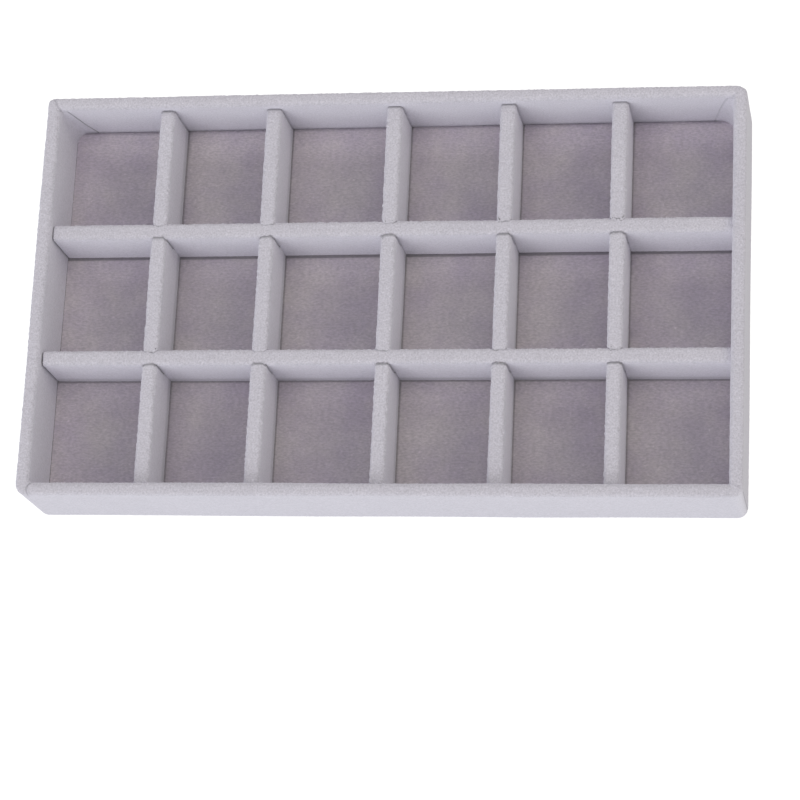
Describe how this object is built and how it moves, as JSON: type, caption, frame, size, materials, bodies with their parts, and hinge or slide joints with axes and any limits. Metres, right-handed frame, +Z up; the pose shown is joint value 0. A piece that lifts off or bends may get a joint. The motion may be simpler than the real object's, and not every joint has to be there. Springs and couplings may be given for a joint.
{
  "type": "jewelry tray",
  "caption": "Shallow rectangular velvet-covered tray with a drop-in grid of dividers that sorts rings and other small jewelry into open compartments.",
  "frame": {"origin": "middle of the face that the tray rests on", "axes": "+X along the width to the right, +Y along the depth to the back, +Z up"},
  "size_m": [0.24, 0.141, 0.03],
  "materials": {
    "velvet": "short-pile velvet, pale lilac grey",
    "floor_velvet": "short-pile velvet, brushed darker mauve grey",
    "board": "raw medium-density fibreboard",
    "card": "grey card",
    "bottom_cover": "thin flat felt"
  },
  "bodies": {
    "tray": {"bottom_cover": "bottom_cover", "base_board": "board", "floor_card": "card", "floor_velvet": "floor_velvet", "front_wall_board": "board", "right_wall_board": "board", "back_wall_board": "board", "left_wall_board": "board", "front_wall_velvet": "velvet", "right_wall_velvet": "velvet", "back_wall_velvet": "velvet", "left_wall_velvet": "velvet"},
    "divider_grid": {"long_divider_front_board": "board", "long_divider_front_velvet": "velvet", "long_divider_back_board": "board", "long_divider_back_velvet": "velvet", "cross_divider_1_board": "board", "cross_divider_1_velvet": "velvet", "cross_divider_2_board": "board", "cross_divider_2_velvet": "velvet", "cross_divider_3_board": "board", "cross_divider_3_velvet": "velvet", "cross_divider_4_board": "board", "cross_divider_4_velvet": "velvet", "cross_divider_5_board": "board", "cross_divider_5_velvet": "velvet"}
  },
  "joints": [
    {"name": "divider_grid_lift", "type": "slide", "parent": "tray", "child": "divider_grid", "axis": [0, 0, 1], "range_m": [0, 0.04]}
  ]
}
